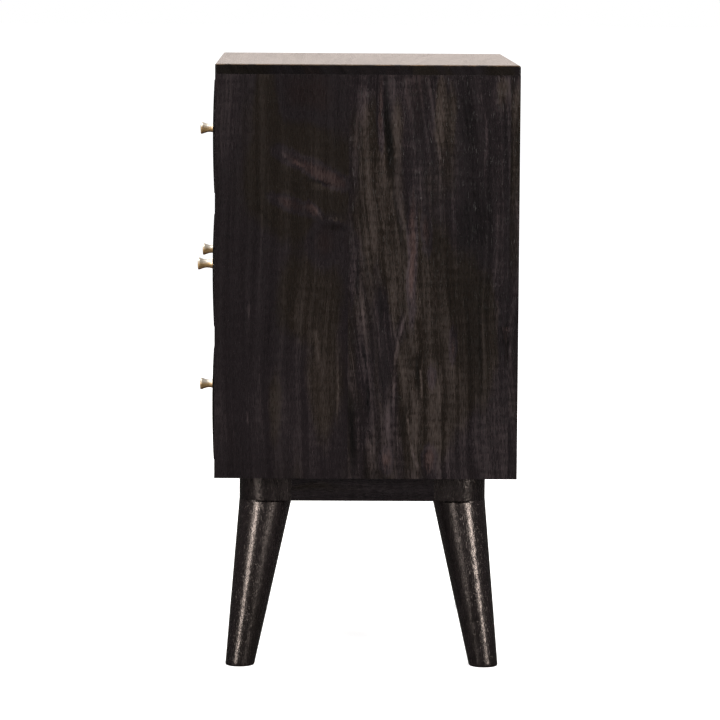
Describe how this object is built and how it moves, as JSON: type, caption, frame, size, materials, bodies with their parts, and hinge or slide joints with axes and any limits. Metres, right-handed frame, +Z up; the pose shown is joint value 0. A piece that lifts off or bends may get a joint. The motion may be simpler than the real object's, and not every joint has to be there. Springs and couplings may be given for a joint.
{
  "type": "nightstand with drawers",
  "caption": "Dark stained solid wood nightstand with wide and half-width drawers, round brass knobs and splayed tapered legs.",
  "frame": {"origin": "on the floor, under the middle of the whole object's box, knobs included", "axes": "+Z up, -Y out of the drawer fronts, +X to the right seen from the front"},
  "size_m": [0.4, 0.3194, 0.6],
  "materials": {
    "stained_wood": "semi-gloss black-brown stain over open grain",
    "leg_wood": "glossy black-brown stain",
    "drawer_wood": "unstained, thin matte sealer",
    "brass": "polished",
    "steel": "zinc plated"
  },
  "bodies": {
    "carcass": {"top_panel": "stained_wood", "side_panel_left": "stained_wood", "side_panel_right": "stained_wood", "bottom_panel": "stained_wood", "lower_divider": "stained_wood", "upper_divider": "stained_wood", "centre_divider": "stained_wood", "back_panel": "stained_wood", "rail_left": "stained_wood", "rail_right": "stained_wood", "rail_front": "stained_wood", "rail_back": "stained_wood", "corner_block_front_left": "stained_wood", "corner_block_front_right": "stained_wood", "corner_block_back_left": "stained_wood", "corner_block_back_right": "stained_wood", "leg_front_left": "leg_wood", "leg_front_right": "leg_wood", "leg_back_left": "leg_wood", "leg_back_right": "leg_wood", "leg_bolt_front_left": "steel", "leg_bolt_front_right": "steel", "leg_bolt_back_left": "steel", "leg_bolt_back_right": "steel", "base_screw_front_left": "steel", "base_screw_front_right": "steel", "base_screw_back_left": "steel", "base_screw_back_right": "steel", "back_screw_lower_left": "steel", "back_screw_lower_right": "steel", "back_screw_upper_left": "steel", "back_screw_upper_right": "steel"},
    "top_drawer": {"top_drawer_front": "stained_wood", "top_drawer_side_left": "drawer_wood", "top_drawer_side_right": "drawer_wood", "top_drawer_back": "drawer_wood", "top_drawer_bottom": "drawer_wood", "top_drawer_knob": "brass", "top_drawer_knob_screw": "steel"},
    "middle_left_drawer": {"middle_left_drawer_front": "stained_wood", "middle_left_drawer_side_left": "drawer_wood", "middle_left_drawer_side_right": "drawer_wood", "middle_left_drawer_back": "drawer_wood", "middle_left_drawer_bottom": "drawer_wood", "middle_left_drawer_knob": "brass", "middle_left_drawer_knob_screw": "steel"},
    "middle_right_drawer": {"middle_right_drawer_front": "stained_wood", "middle_right_drawer_side_left": "drawer_wood", "middle_right_drawer_side_right": "drawer_wood", "middle_right_drawer_back": "drawer_wood", "middle_right_drawer_bottom": "drawer_wood", "middle_right_drawer_knob": "brass", "middle_right_drawer_knob_screw": "steel"},
    "bottom_drawer": {"bottom_drawer_front": "stained_wood", "bottom_drawer_side_left": "drawer_wood", "bottom_drawer_side_right": "drawer_wood", "bottom_drawer_back": "drawer_wood", "bottom_drawer_bottom": "drawer_wood", "bottom_drawer_knob": "brass", "bottom_drawer_knob_screw": "steel"}
  },
  "joints": [
    {"name": "top_drawer_slide", "type": "slide", "parent": "carcass", "child": "top_drawer", "axis": [0, -1, 0], "range_m": [0, 0.2]},
    {"name": "middle_left_drawer_slide", "type": "slide", "parent": "carcass", "child": "middle_left_drawer", "axis": [0, -1, 0], "range_m": [0, 0.2]},
    {"name": "middle_right_drawer_slide", "type": "slide", "parent": "carcass", "child": "middle_right_drawer", "axis": [0, -1, 0], "range_m": [0, 0.2]},
    {"name": "bottom_drawer_slide", "type": "slide", "parent": "carcass", "child": "bottom_drawer", "axis": [0, -1, 0], "range_m": [0, 0.2]}
  ]
}
